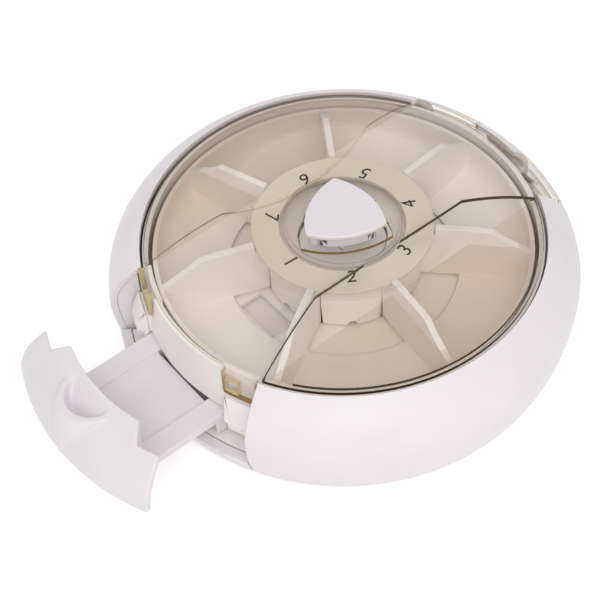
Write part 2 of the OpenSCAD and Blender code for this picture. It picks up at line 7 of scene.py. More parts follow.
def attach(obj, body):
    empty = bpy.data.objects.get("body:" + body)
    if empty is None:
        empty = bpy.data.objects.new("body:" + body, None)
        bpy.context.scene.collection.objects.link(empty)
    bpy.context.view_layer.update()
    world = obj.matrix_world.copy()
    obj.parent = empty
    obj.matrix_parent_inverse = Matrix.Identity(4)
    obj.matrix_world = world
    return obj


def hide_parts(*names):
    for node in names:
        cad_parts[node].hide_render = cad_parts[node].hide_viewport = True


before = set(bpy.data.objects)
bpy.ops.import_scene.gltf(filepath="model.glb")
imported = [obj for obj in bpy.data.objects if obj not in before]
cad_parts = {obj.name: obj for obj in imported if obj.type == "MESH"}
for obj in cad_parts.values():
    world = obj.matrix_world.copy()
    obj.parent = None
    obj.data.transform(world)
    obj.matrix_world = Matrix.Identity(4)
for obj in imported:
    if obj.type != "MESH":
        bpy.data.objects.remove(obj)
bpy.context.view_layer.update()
print("frame loaded:", len(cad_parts), "solids")

mm = 0.001  # shapes are drawn in millimetres; finishes, room, lamps and camera are in metres
below = -5  # a cutting shape starts under the table
above = 80  # and ends over the cap
outside = 110  # and reaches past the drawer
weld = 0.002  # points nearer to each other than this are one


# Finishes
noiseMiddle = (0.3, 0.7)  # most of a noise texture lies between these


def srgb(red, green, blue):
    # Colour written as 0 to 255, turned into the linear values that shaders take
    def linear(value):
        value = value / 255
        return value / 12.92 if value <= 0.04045 else ((value + 0.055) / 1.055) ** 2.4
    return (linear(red), linear(green), linear(blue), 1)


def newFinish(name):
    finish = bpy.data.materials.new(name)
    finish.use_nodes = True
    tree = finish.node_tree
    tree.nodes.clear()
    return finish, tree


def noiseOn(tree, place, scale, detail):
    noise = tree.nodes.new("ShaderNodeTexNoise")
    noise.inputs["Scale"].default_value = scale
    noise.inputs["Detail"].default_value = detail
    tree.links.new(place, noise.inputs["Vector"])
    return noise.outputs["Fac"]


def spread(tree, value, low, high):
    # Map the middle of a noise onto low to high
    node = tree.nodes.new("ShaderNodeMapRange")
    node.inputs["From Min"].default_value = noiseMiddle[0]
    node.inputs["From Max"].default_value = noiseMiddle[1]
    node.inputs["To Min"].default_value = low
    node.inputs["To Max"].default_value = high
    tree.links.new(value, node.inputs["Value"])
    return node.outputs["Result"]


def mixColour(tree, share, first, second):
    node = tree.nodes.new("ShaderNodeMix")
    node.data_type = "RGBA"
    node.inputs["A"].default_value = first
    node.inputs["B"].default_value = second
    tree.links.new(share, node.inputs["Factor"])
    return node.outputs["Result"]


def combine(tree, operation, first, second):
    node = tree.nodes.new("ShaderNodeMath")
    node.operation = operation
    tree.links.new(first, node.inputs[0])
    tree.links.new(second, node.inputs[1])
    return node


def addBump(tree, shader, height, strength, distance):
    bump = tree.nodes.new("ShaderNodeBump")
    bump.inputs["Strength"].default_value = strength
    bump.inputs["Distance"].default_value = distance
    tree.links.new(height, bump.inputs["Height"])
    tree.links.new(bump.outputs["Normal"], shader.inputs["Normal"])


def mouldedPlastic(name, light, dark, rough, grain=1400, depth=0.04):
    # Satin moulded plastic: faint flow patches, fine grain in gloss and height
    patch = 45
    grainHeight = 0.0002
    finish, tree = newFinish(name)
    out = tree.nodes.new("ShaderNodeOutputMaterial")
    shader = tree.nodes.new("ShaderNodeBsdfPrincipled")
    place = tree.nodes.new("ShaderNodeTexCoord").outputs["Object"]
    cloud = spread(tree, noiseOn(tree, place, patch, 4), 0, 1)
    tree.links.new(mixColour(tree, cloud, srgb(*light), srgb(*dark)), shader.inputs["Base Color"])
    speck = noiseOn(tree, place, grain, 2)
    tree.links.new(spread(tree, speck, *rough), shader.inputs["Roughness"])
    addBump(tree, shader, noiseOn(tree, place, grain * 0.7, 3), depth, grainHeight)
    tree.links.new(shader.outputs["BSDF"], out.inputs["Surface"])
    return finish


film = {"tint": (0.980, 0.957, 0.938, 1), "paler": 1.03, "coat": (138, 112, 88), "shine": 0.6,
        "rough": (0.06, 0.14), "patch": 30, "smear": 260, "wave": 70, "waveStrength": 0.02,
        "waveHeight": 0.0003, "grazing": 4, "faceOn": 0.035}


def clearTint(name):
    # Smoked clear plastic: a tinted see-through film under a gloss coat
    finish, tree = newFinish(name)
    out = tree.nodes.new("ShaderNodeOutputMaterial")
    place = tree.nodes.new("ShaderNodeTexCoord").outputs["Object"]
    see = tree.nodes.new("ShaderNodeBsdfTransparent")
    cloud = spread(tree, noiseOn(tree, place, film["patch"], 3), 0, 1)
    paler = tuple(min(1, value * film["paler"]) for value in film["tint"][:3]) + (1,)
    tree.links.new(mixColour(tree, cloud, film["tint"], paler), see.inputs["Color"])
    shader = tree.nodes.new("ShaderNodeBsdfPrincipled")
    shader.inputs["Base Color"].default_value = srgb(*film["coat"])
    shader.inputs["Specular IOR Level"].default_value = film["shine"]
    smear = noiseOn(tree, place, film["smear"], 3)
    tree.links.new(spread(tree, smear, *film["rough"]), shader.inputs["Roughness"])
    addBump(tree, shader, noiseOn(tree, place, film["wave"], 2), film["waveStrength"], film["waveHeight"])
    # The coat grows towards the grazing edge, alike on both sides of the film
    edge = tree.nodes.new("ShaderNodeLayerWeight")
    edge.inputs["Blend"].default_value = 0.5
    steep = tree.nodes.new("ShaderNodeMath")
    steep.operation = "POWER"
    steep.inputs[1].default_value = film["grazing"]
    tree.links.new(edge.outputs["Facing"], steep.inputs[0])
    share = tree.nodes.new("ShaderNodeMapRange")
    share.inputs["To Min"].default_value = film["faceOn"]
    share.inputs["To Max"].default_value = 1.0
    tree.links.new(steep.outputs["Value"], share.inputs["Value"])
    # Light from lamps and walls passes the film, so the cups below it stay bright
    path = tree.nodes.new("ShaderNodeLightPath")
    passing = combine(tree, "MAXIMUM", path.outputs["Is Shadow Ray"], path.outputs["Is Diffuse Ray"])
    clear = combine(tree, "SUBTRACT", share.outputs["Result"], passing.outputs["Value"])
    clear.use_clamp = True
    mix = tree.nodes.new("ShaderNodeMixShader")
    tree.links.new(clear.outputs["Value"], mix.inputs["Fac"])
    tree.links.new(see.outputs["BSDF"], mix.inputs[1])
    tree.links.new(shader.outputs["BSDF"], mix.inputs[2])
    tree.links.new(mix.outputs["Shader"], out.inputs["Surface"])
    return finish


steel = {"tone": (200, 202, 206), "darker": 0.82, "rough": (0.24, 0.38), "stretch": (40, 40, 900),
         "streak": 6, "bump": 0.08, "depth": 0.0001}


def brushedSteel(name):
    # Bright steel with fine level streaks, so the noise is stretched far less upwards
    finish, tree = newFinish(name)
    out = tree.nodes.new("ShaderNodeOutputMaterial")
    shader = tree.nodes.new("ShaderNodeBsdfPrincipled")
    shader.inputs["Metallic"].default_value = 1
    place = tree.nodes.new("ShaderNodeTexCoord").outputs["Object"]
    lay = tree.nodes.new("ShaderNodeMapping")
    lay.inputs["Scale"].default_value = steel["stretch"]
    tree.links.new(place, lay.inputs["Vector"])
    streak = noiseOn(tree, lay.outputs["Vector"], steel["streak"], 4)
    tree.links.new(spread(tree, streak, *steel["rough"]), shader.inputs["Roughness"])
    tone = srgb(*steel["tone"])
    darker = tuple(value * steel["darker"] for value in tone[:3]) + (1,)
    tree.links.new(mixColour(tree, spread(tree, streak, 0, 1), tone, darker), shader.inputs["Base Color"])
    addBump(tree, shader, streak, steel["bump"], steel["depth"])
    tree.links.new(shader.outputs["BSDF"], out.inputs["Surface"])
    return finish


plastics = {
    "shellWhite": {"light": (238, 232, 234), "dark": (232, 226, 228), "rough": (0.34, 0.44)},
    "innerWhite": {"light": (247, 243, 240), "dark": (242, 237, 233), "rough": (0.42, 0.54), "grain": 1100},
    "drawerWhite": {"light": (234, 229, 232), "dark": (228, 222, 225), "rough": (0.30, 0.40)},
    "capWhite": {"light": (236, 231, 234), "dark": (231, 226, 229), "rough": (0.22, 0.30), "grain": 1600,
                 "depth": 0.02},
    "discCream": {"light": (233, 226, 214), "dark": (226, 218, 204), "rough": (0.36, 0.46), "grain": 1200},
    "inkBlack": {"light": (24, 22, 20), "dark": (34, 31, 28), "rough": (0.50, 0.62), "grain": 1800},
    "footRubber": {"light": (52, 52, 54), "dark": (40, 40, 42), "rough": (0.68, 0.82), "grain": 700,
                   "depth": 0.25},
    # Painted shade: dark colour on the cut rim and seam edges of the clear plastic, standing in for light
    # absorbed along its thickness
    "paintedShadeEdge": {"light": (74, 54, 24), "dark": (58, 42, 18), "rough": (0.16, 0.24), "grain": 1500,
                   "depth": 0.01},
    # Painted shade: olive colour on the button opening edge and the hooks, standing in for light tinted
    # along the clear plastic's thickness
    "paintedOliveShadeEdge": {"light": (158, 138, 84), "dark": (124, 104, 58), "rough": (0.14, 0.22), "grain": 1500,
                  "depth": 0.01},
    # Painted highlight: pale colour on the latch tab flanks, standing in for light shining through the clear
    # plastic's edge
    "paintedHighlightEdge": {"light": (218, 200, 164), "dark": (200, 180, 140), "rough": (0.14, 0.22), "grain": 1500,
                 "depth": 0.01},
}
finishes = {name: mouldedPlastic(name, **look) for name, look in plastics.items()}
finishes["smokedClear"] = clearTint("smokedClear")
finishes["steel"] = brushedSteel("steel")
print("finishes made:", len(finishes))


# Shaping
def ring(points, steps=180):
    # Revolve a closed outline of (radius, height) about the axis
    bm = bmesh.new()
    verts = [bm.verts.new((radius, 0, height)) for radius, height in points]
    edges = [bm.edges.new((verts[i], verts[(i + 1) % len(verts)])) for i in range(len(verts))]
    bmesh.ops.spin(bm, geom=verts + edges, cent=(0, 0, 0), axis=(0, 0, 1), angle=2 * pi, steps=steps,
                   use_merge=True)
    bmesh.ops.remove_doubles(bm, verts=bm.verts, dist=0.0005)
    bmesh.ops.recalc_face_normals(bm, faces=bm.faces)
    return bm


def prism(points, low=below, high=above):
    # Upright prism over an outline in plan
    bm = bmesh.new()
    base = bm.faces.new([bm.verts.new((x, y, low)) for x, y in points])
    top = bmesh.ops.extrude_face_region(bm, geom=[base])
    verts = [item for item in top["geom"] if isinstance(item, bmesh.types.BMVert)]
    bmesh.ops.translate(bm, verts=verts, vec=(0, 0, high - low))
    bmesh.ops.recalc_face_normals(bm, faces=bm.faces)
    return bm


def block(x0, x1, y0, y1, z0=below, z1=above):
    bm = bmesh.new()
    middle = Vector(((x0 + x1) / 2, (y0 + y1) / 2, (z0 + z1) / 2))
    size = Matrix.Diagonal((x1 - x0, y1 - y0, z1 - z0, 1))
    bmesh.ops.create_cube(bm, size=1, matrix=Matrix.Translation(middle) @ size)
    return bm


def rod(radius, low=below, high=above):
    bm = bmesh.new()
    bmesh.ops.create_cone(bm, cap_ends=True, segments=96, radius1=radius, radius2=radius, depth=high - low,
                          matrix=Matrix.Translation((0, 0, (low + high) / 2)))
    return bm


def moved(bm, vec):
    bmesh.ops.translate(bm, verts=bm.verts, vec=vec)
    return bm


def tempObject(bm, name):
    mesh = bpy.data.meshes.new(name)
    bm.to_mesh(mesh)
    bm.free()
    made = bpy.data.objects.new(name, mesh)
    bpy.context.scene.collection.objects.link(made)
    return made


def evaluated(made):
    # The shape with its modifiers on, as a new bmesh; the helper object goes away
    bpy.context.view_layer.update()
    graph = bpy.context.evaluated_depsgraph_get()
    bm = bmesh.new()
    bm.from_mesh(made.evaluated_get(graph).to_mesh())
    mesh = made.data
    bpy.data.objects.remove(made)
    bpy.data.meshes.remove(mesh)
    return bm


def carve(bm, *tools):
    # Each tool is ("UNION" or "DIFFERENCE" or "INTERSECT", bmesh)
    for kind, tool in tools:
        made = tempObject(bm, "work")
        other = tempObject(tool, "tool")
        cut = made.modifiers.new("cut", "BOOLEAN")
        cut.operation = kind
        cut.solver = "EXACT"
        cut.object = other
        bm = evaluated(made)
        mesh = other.data
        bpy.data.objects.remove(other)
        bpy.data.meshes.remove(mesh)
    return bm


def tidyMesh(bm, flat=0.3):
    # Weld the points and drop edges between faces that lie flatter than this angle
    bmesh.ops.remove_doubles(bm, verts=bm.verts, dist=weld)
    bmesh.ops.dissolve_limit(bm, angle_limit=radians(flat), verts=bm.verts, edges=bm.edges)
    return bm


def piece(name, bm, finish, body, replacing=(), edge=0, steps=2, angle=32):
    # A finished piece: rounded edges, soft normals, its finish, its body and the solids it stands for
    bmesh.ops.scale(bm, vec=(mm, mm, mm), verts=bm.verts)
    bmesh.ops.recalc_face_normals(bm, faces=bm.faces)
    for face in bm.faces:
        face.smooth = True
    mesh = bpy.data.meshes.new(name)
    bm.to_mesh(mesh)
    bm.free()
    mesh.set_sharp_from_angle(angle=radians(angle))
    mesh.materials.append(finishes[finish])
    made = bpy.data.objects.new(name, mesh)
    bpy.context.scene.collection.objects.link(made)
    if edge:
        soften = made.modifiers.new("edges", "BEVEL")
        soften.width = edge * mm
        soften.segments = steps
        soften.limit_method = "ANGLE"
        soften.angle_limit = radians(angle)
        soften.use_clamp_overlap = False
        soften.harden_normals = True
    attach(made, body)
    if replacing:
        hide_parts(*replacing)
    return made


def edgeFinish(made, finish, where):
    # Cut edges of the clear plastic: another finish on the faces that a test picks; the finishes given are
    # painted shade and painted highlight for the light through the film's thickness
    made.data.materials.append(finishes[finish])
    for face in made.data.polygons:
        if where(face.center / mm, face.normal):
            face.material_index = len(made.data.materials) - 1


def copyOf(node):
    # A merged copy of a solid's mesh, in millimetres
    bm = bmesh.new()
    bm.from_mesh(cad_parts[node].data)
    bmesh.ops.scale(bm, vec=(1 / mm, 1 / mm, 1 / mm), verts=bm.verts)
    return tidyMesh(bm, 0.4)


def dress(node, finish):
    # A solid that stays as it is gets a finish of its own
    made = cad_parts[node]
    for place in made.material_slots:
        place.material = finishes[finish]
    if not made.material_slots:
        made.data.materials.append(finishes[finish])


def frontPoint(radius, angle):
    # Place in plan, the angle counted from the front direction to the right
    return (radius * sin(radians(angle)), -radius * cos(radians(angle)))


def frontPlan(angle):
    # Wedge in plan about the front direction
    wide = outside * tan(radians(angle))
    return [(0, 0), (-wide, -outside), (wide, -outside)]


def mirroredPlan(half):
    return half + [(-x, y) for x, y in half[::-1]]


# Outer shell
hull = {"radius": 71, "belt": 20.4, "shoulderRun": 41, "shoulderRise": 22, "skirtRun": 13, "skirtRise": 27,
        "wall": 2.2, "mouth": 60, "foot": 1.2, "rearWidth": 29.3, "cutAngle": 27.3}
hinge = {"y": 67.6, "z": 19.5, "rib": 8.4, "ribIn": 2.4, "ribHalf": 2.6, "ribInset": 1.1, "ribGap": 2.6,
         "notchDrop": 3.2}


def shoulderPoint(angle, depth):
    return (hull["radius"] - hull["shoulderRun"] + (hull["shoulderRun"] - depth) * cos(angle),
            hull["belt"] + (hull["shoulderRise"] - depth) * sin(angle))


def skirtPoint(angle, depth):
    return (hull["radius"] - hull["skirtRun"] + (hull["skirtRun"] - depth) * cos(angle),
            hull["belt"] - (hull["skirtRise"] - depth) * sin(angle))


def bodyLine(height, radius, depth, count=16):
    # The body's outline from a height on the lower curve up to a radius on the shoulder
    low = asin((hull["belt"] - height) / (hull["skirtRise"] - depth))
    high = acos((radius - hull["radius"] + hull["shoulderRun"]) / (hull["shoulderRun"] - depth))
    lower = [skirtPoint(low * (count - i) / count, depth) for i in range(count)]
    return lower + [shoulderPoint(high * i / count, depth) for i in range(count + 1)]


def rearPlan(width, angle):
    # Plan of the rear notch: a wedge whose sides turn straight at the hinge
    corner = width / tan(radians(angle))
    return [(0, 0), (-width, corner), (-width, outside), (width, outside), (width, corner)]


shell = ring(bodyLine(hull["foot"], hull["mouth"], 0)
             + bodyLine(hull["foot"], hull["mouth"], hull["wall"])[::-1])
# The notch leaves room for the rib, and the rib stands in it
ribRoom = carve(block(-hinge["rib"], hinge["rib"], 0, outside - 10, 0, above - 10),
                ("DIFFERENCE", rod(hull["mouth"] + hinge["ribGap"])))
rearCut = carve(prism(rearPlan(hull["rearWidth"], hull["cutAngle"]), hinge["z"] - hinge["notchDrop"]),
                ("DIFFERENCE", ribRoom))
ribBlock = carve(block(-hinge["rib"], hinge["rib"], hinge["y"] - hinge["ribIn"], hull["radius"],
                       hinge["z"] - hinge["ribHalf"], hinge["z"] + hinge["ribHalf"]),
                 ("INTERSECT", rod(hull["radius"] - hinge["ribInset"])))
shell = carve(shell, ("DIFFERENCE", prism(frontPlan(hull["cutAngle"]))), ("DIFFERENCE", rearCut),
              ("UNION", ribBlock))
piece("shell", tidyMesh(shell), "shellWhite", "housing", ["outer_shell"],
      edge=0.45, steps=3)
print("outer shell done")


# Smoked dome: two fixed windows and the flip lid
dome = {"rim": 58.8, "rimHeight": 35, "ridge": 34.6, "rimSlope": 32, "ridgeSlope": 15, "dishSlope": 24,
        "pocketSlope": 11, "pocket": 17.6, "wall": 1.4, "rimWidth": 1.7, "rimDrop": 1.3, "rimStep": 0.3,
        "waist": 16.8, "flare": 20.5, "creaseShare": 0.8, "overrun": 6, "seam": 0.5}
# Where the painted shade and painted highlight on the cut edges of the clear plastic lie
cutEdge = {"upright": 0.3, "rimBand": 0.3, "seamTurn": -0.6, "seamFrom": 1, "openingInset": 0.4,
           "openingTop": 39.5, "tabFront": -50, "hookTop": 25.8, "tabLow": 26.4, "tabTop": 32.2,
           "sideways": 0.5}


def tiltedCurve(run, low, high):
    # Radius of the arc that runs this far while its slope goes from low to high
    return run / (sin(radians(high)) - sin(radians(low)))


slopeCurve = tiltedCurve(dome["rim"] - dome["ridge"], dome["ridgeSlope"], dome["rimSlope"])
dishCurve = tiltedCurve(dome["ridge"] - dome["pocket"], dome["pocketSlope"], dome["dishSlope"])
ridgeHeight = dome["rimHeight"] + slopeCurve * (cos(radians(dome["ridgeSlope"]))
                                                - cos(radians(dome["rimSlope"])))


def domeLine(count=14):
    # From the middle pocket up to the ridge, then down to the rim
    line = []
    for i in range(count):
        tilt = radians(dome["pocketSlope"] + (dome["dishSlope"] - dome["pocketSlope"]) * i / count)
        line.append((dome["ridge"] - dishCurve * (sin(radians(dome["dishSlope"])) - sin(tilt)),
                     ridgeHeight - dishCurve * (cos(tilt) - cos(radians(dome["dishSlope"])))))
    for i in range(count + 1):
        tilt = radians(dome["ridgeSlope"] + (dome["rimSlope"] - dome["ridgeSlope"]) * i / count)
        line.append((dome["ridge"] + slopeCurve * (sin(tilt) - sin(radians(dome["ridgeSlope"]))),
                     ridgeHeight - slopeCurve * (cos(radians(dome["ridgeSlope"])) - cos(tilt))))
    return line


def domeRing():
    top = domeLine()
    edge = dome["rim"] - dome["rimWidth"]
    under = [(r, z - dome["wall"]) for r, z in top if r < edge - dome["rimStep"]]
    low = dome["rimHeight"] - dome["rimDrop"]
    rim = [(dome["rim"], low), (edge, low), (edge, dome["rimHeight"] - dome["rimStep"])]
    return ring(top + rim + under[::-1])


def stripPlan(grow, count=12):
    # Waisted strip that flares to the front and the rear
    crease = dome["ridge"] * dome["creaseShare"]
    reach = dome["rim"] + dome["overrun"]
    widening = dome["flare"] - dome["waist"]
    end = dome["flare"] + grow + (reach - crease) * 2 * widening / crease
    bend = [(dome["waist"] + widening * (i / count) ** 2 + grow, crease * i / count)
            for i in range(-count, count + 1)]
    return mirroredPlan([(end, -reach)] + bend + [(end, reach)])


def upright(normal):
    return abs(normal.z) < cutEdge["upright"]


def rimEdge(at, normal):
    return upright(normal) and at.xy.length > dome["rim"] - cutEdge["rimBand"]


def rimAndSeamEdge(at, normal):
    # The right window shows its painted shade edge along the lid too
    seam = normal.x < cutEdge["seamTurn"] and at.xy.length > dome["pocket"] + cutEdge["seamFrom"]
    return rimEdge(at, normal) or upright(normal) and seam


def openingEdge(at, normal):
    # Edge of the button opening, and the hooks under the latch tabs, which get the painted olive shade
    opening = at.xy.length < dome["pocket"] - cutEdge["openingInset"] and at.z < cutEdge["openingTop"]
    return upright(normal) and opening or at.y < cutEdge["tabFront"] and at.z < cutEdge["hookTop"]


def tabFlank(at, normal):
    # Flanks of the latch tabs, which get the painted highlight
    outward = at.xy.to_3d().normalized()
    onTab = at.y < cutEdge["tabFront"] and cutEdge["tabLow"] < at.z < cutEdge["tabTop"]
    return onTab and abs(normal.dot(outward)) < cutEdge["sideways"]


window = carve(domeRing(), ("DIFFERENCE", prism(stripPlan(dome["seam"]))),
               ("DIFFERENCE", rod(dome["pocket"] + dome["seam"])))
# Each window gets painted shade on its cut rim edge, the right one on its seam too
for side, name, node, shadeEdgeTest in ((-1, "windowLeft", "window_left", rimEdge),
                                   (1, "windowRight", "window_right", rimAndSeamEdge)):
    left, right = sorted((0, side * outside))
    half = carve(window.copy(), ("INTERSECT", block(left, right, -outside, outside)))
    made = piece(name, tidyMesh(half), "smokedClear", "housing", [node], edge=0.22)
    edgeFinish(made, "paintedShadeEdge", shadeEdgeTest)
window.free()
lid = piece("flipLid", copyOf("flip_lid"), "smokedClear", "lid", ["flip_lid"],
            edge=0.18)
# Painted olive shade on the edge of the button opening and on the hooks
edgeFinish(lid, "paintedOliveShadeEdge", openingEdge)
# Painted highlight on the flanks of the latch tabs
edgeFinish(lid, "paintedHighlightEdge", tabFlank)
print("dome done")


# Carousel, number disc and digits
piece("carouselCups", copyOf("carousel"), "innerWhite", "carousel", ["carousel"],
      edge=0.2)
piece("numberDisc", copyOf("number_disc"), "discCream", "carousel", ["number_disc"],
      edge=0.25)
digits = {"count": 7, "radius": 20.95, "first": 275.06, "height": 4.4, "thick": 0.05, "surface": 38.5,
          "slant": 0.15, "figureShare": 0.70}


def digitMesh(text):
    # The font's figures take only a share of its size, and are centred by their own box
    line = bpy.data.curves.new("digitLine", "FONT")
    line.body = text
    line.size = digits["height"] / digits["figureShare"]
    line.align_x = "CENTER"
    line.align_y = "CENTER"
    line.extrude = digits["thick"] / 2
    line.shear = digits["slant"]
    line.resolution_u = 6
    made = bpy.data.objects.new("digitTemp", line)
    bpy.context.scene.collection.objects.link(made)
    bpy.context.view_layer.update()
    bm = bmesh.new()
    bm.from_mesh(made.evaluated_get(bpy.context.evaluated_depsgraph_get()).to_mesh())
    bpy.data.objects.remove(made)
    bpy.data.curves.remove(line)
    lows = [min(v.co[i] for v in bm.verts) for i in range(2)]
    highs = [max(v.co[i] for v in bm.verts) for i in range(2)]
    return moved(bm, (-(lows[0] + highs[0]) / 2, -(lows[1] + highs[1]) / 2, 0))


for i in range(digits["count"]):
    bm = digitMesh(str(i + 1))
    turn = radians(digits["first"] + i * 360 / digits["count"])
    bmesh.ops.rotate(bm, verts=bm.verts, cent=(0, 0, 0), matrix=Matrix.Rotation(turn + pi / 2, 3, "Z"))
    moved(bm, (digits["radius"] * cos(turn), digits["radius"] * sin(turn),
               digits["surface"] + digits["thick"] / 2))
    piece("digit%d" % (i + 1), bm, "inkBlack", "carousel")
print("carousel done")


# Button
cap = {"corner": 13.6, "round": 1.0, "top": 43.5, "thick": 1.8, "overlap": 0.01,
       "skirt": 37.6, "inset": 1.6, "skirtRound": 0.8, "skirtWall": 1.6, "boreRound": 0.6,
       "slotWide": 1.0, "slotHigh": 2.4, "slotFrom": 41.2, "slotTurn": 17, "slotNear": 7}


def bulgedPlan(corner, soft, count=18, cornerCount=6):
    # Three bulging sides with rounded corners, all of constant width
    inner = corner - soft
    sweep = inner * sqrt(3)
    points = []
    for k in range(3):
        hub = radians(-90 + 120 * k)
        tip = (inner * cos(hub), inner * sin(hub))
        for i in range(cornerCount + 1):
            turn = hub - radians(30) + radians(60) * i / cornerCount
            points.append((tip[0] + soft * cos(turn), tip[1] + soft * sin(turn)))
        far = hub + radians(240)  # the corner that faces the next side
        centre = (inner * cos(far), inner * sin(far))
        for i in range(1, count):
            turn = far + pi - radians(30) + radians(60) * i / count
            points.append((centre[0] + (sweep + soft) * cos(turn), centre[1] + (sweep + soft) * sin(turn)))
    return points


plateLow = cap["top"] - cap["thick"]
skirtCorner = cap["corner"] - cap["inset"]
top = prism(bulgedPlan(cap["corner"], cap["round"]), plateLow, cap["top"])
skirt = prism(bulgedPlan(skirtCorner, cap["skirtRound"]), cap["skirt"], plateLow + cap["overlap"])
bore = prism(bulgedPlan(skirtCorner - cap["skirtWall"], cap["boreRound"]), below, plateLow)
top = carve(top, ("UNION", carve(skirt, ("DIFFERENCE", bore))))
# Two narrow slots in the skirt beside each corner
for corner in (-90, 30, 150):
    for side in (-1, 1):
        slot = block(0, cap["corner"], -cap["slotWide"] / 2, cap["slotWide"] / 2,
                     cap["slotFrom"] - cap["slotHigh"], cap["slotFrom"])
        bmesh.ops.rotate(slot, verts=slot.verts, cent=(0, 0, 0),
                         matrix=Matrix.Rotation(radians(corner + side * cap["slotTurn"]), 3, "Z"))
        top = carve(top, ("DIFFERENCE", carve(slot, ("DIFFERENCE", rod(cap["slotNear"])))))
piece("buttonCap", tidyMesh(top), "capWhite", "button", ["button_cap"], edge=0.6, steps=4)
print("button done")


# Drawer
piece("drawerTray", copyOf("drawer_tray"), "drawerWhite", "drawer", ["drawer_tray"],
      edge=0.35, steps=3)
drawer = {"out": 27, "angle": 25, "stands": 4.5, "low": 18, "sink": 1, "wall": 2.2, "run": 24.2,
          "rise": 19.5, "notch": 65.5, "inner": 63.8, "underside": 14.35, "seatGap": 0.1, "seatTop": 34.7,
          "seatLow": 17.3, "voxel": 0.36, "softening": 0.5, "softenings": 7}
tongueSize = {"angle": 16, "flare": 2.7, "in": 2, "back": 8, "lap": 4}
scoopSize = {"radius": 9.75, "y": -62, "top": 33.5, "tipY": -75.3, "tipZ": 18.4, "tipRadius": 0.5,
             "taper": 0.85, "lean": 0.9}
pocketSize = {"wall": 1.9, "depth": 9.5, "back": 0.2, "lift": 0.4, "rearGap": 0.9, "rearTop": 35,
              "rearSlope": 45}
hollow = {"gap": 1.8, "reach": 6, "outTop": 19.4, "inTop": 22.4, "narrower": 2}


def tonguePlan():
    # Middle of the front that reaches up to the dome between the two latch tabs
    near = frontPoint(hull["mouth"], tongueSize["angle"])
    far = frontPoint(drawer["notch"], tongueSize["angle"] + tongueSize["flare"])
    start = (near[0] - tongueSize["in"], near[1] + tongueSize["back"])
    return [(0, 0)] + mirroredPlan([start, near, far, (far[0], -outside)])


def scoopCone(rows=12, count=40):
    # Pouch under the finger: a round rim that tapers down to a rounded tip on the front
    bm = bmesh.new()
    loops = []
    for k in range(rows + 1):
        t = k / rows
        wide = scoopSize["radius"] * (1 - t) ** scoopSize["taper"] + scoopSize["tipRadius"] * t
        middle = scoopSize["y"] + (scoopSize["tipY"] - scoopSize["y"]) * t ** scoopSize["lean"]
        height = scoopSize["top"] + (scoopSize["tipZ"] - scoopSize["top"]) * t
        turns = [2 * pi * i / count for i in range(count)]
        loops.append([bm.verts.new((wide * cos(turn), middle + wide * sin(turn), height)) for turn in turns])
    for loop in loops:
        for i in range(count):
            bm.edges.new((loop[i], loop[(i + 1) % count]))
    bmesh.ops.bridge_loops(bm, edges=bm.edges)
    for loop in (loops[0], loops[-1]):
        bmesh.ops.contextual_create(bm, geom=loop)
    bmesh.ops.recalc_face_normals(bm, faces=bm.faces)
    return bm


def frontLine(depth, count=24):
    # Outline of the drawer front, which swells beyond the shell
    run = drawer["run"] - depth
    rise = drawer["rise"] - depth
    outer = hull["radius"] + drawer["stands"] - drawer["run"]
    middle = drawer["low"] - drawer["sink"]
    low = asin(drawer["sink"] / rise)
    high = acos((hull["mouth"] - outer) / run)
    angles = [low + (high - low) * i / count for i in range(count + 1)]
    return [(outer + run * cos(angle), middle + rise * sin(angle)) for angle in angles]


def fingerPocket():
    # Hollow for the fingertip: a round-bottomed pocket whose rear slopes up to the tongue
    wide = scoopSize["radius"] - pocketSize["wall"]
    bm = bmesh.new()
    bmesh.ops.create_uvsphere(bm, u_segments=48, v_segments=24, radius=1)
    bmesh.ops.scale(bm, vec=(wide, wide, pocketSize["depth"]), verts=bm.verts)
    moved(bm, (0, scoopSize["y"] + pocketSize["back"], scoopSize["top"] + pocketSize["lift"]))
    size = 100
    corner = Matrix.Translation((0, -hull["mouth"] - pocketSize["rearGap"], pocketSize["rearTop"]))
    slope = Matrix.Rotation(radians(pocketSize["rearSlope"]), 4, "X")
    keep = bmesh.new()
    bmesh.ops.create_cube(keep, size=1, matrix=corner @ slope @ Matrix.Translation((0, -size / 2, size / 2))
                          @ Matrix.Diagonal((size, size, size, 1)))
    return carve(bm, ("INTERSECT", keep))


seat = hull["mouth"] + drawer["seatGap"]
plate = carve(ring(frontLine(0) + frontLine(drawer["wall"])[::-1]),
              ("INTERSECT", prism(frontPlan(drawer["angle"]))),
              ("DIFFERENCE", rod(drawer["notch"])))
tongueLine = frontLine(0) + [(seat, drawer["seatTop"]), (drawer["inner"], drawer["seatLow"]),
                             (drawer["inner"], drawer["underside"]),
                             (drawer["notch"] + tongueSize["lap"], drawer["underside"])]
tongue = carve(ring(tongueLine), ("INTERSECT", prism(tonguePlan())))
# The scoop ends at the rear face of the tongue, where the frame wall stands
backLine = [(0, below), (drawer["inner"], below), (drawer["inner"], drawer["seatLow"]),
            (seat, drawer["seatTop"]), (seat, above), (0, above)]
scoop = carve(scoopCone(), ("DIFFERENCE", ring(backLine)))
front = carve(plate, ("UNION", tongue), ("UNION", scoop), ("DIFFERENCE", fingerPocket()))
# From below, the tongue is hollow behind its skin
hollowIn = drawer["inner"] + hollow["gap"]
hollowOut = drawer["notch"] + hollow["reach"]
hollowLine = [(hollowIn, 0), (hollowOut, 0), (hollowOut, hollow["outTop"]), (hollowIn, hollow["inTop"])]
behind = carve(ring(hollowLine),
               ("INTERSECT", prism(frontPlan(tongueSize["angle"] - hollow["narrower"]))))
front = moved(carve(front, ("DIFFERENCE", behind)), (0, -drawer["out"], 0))
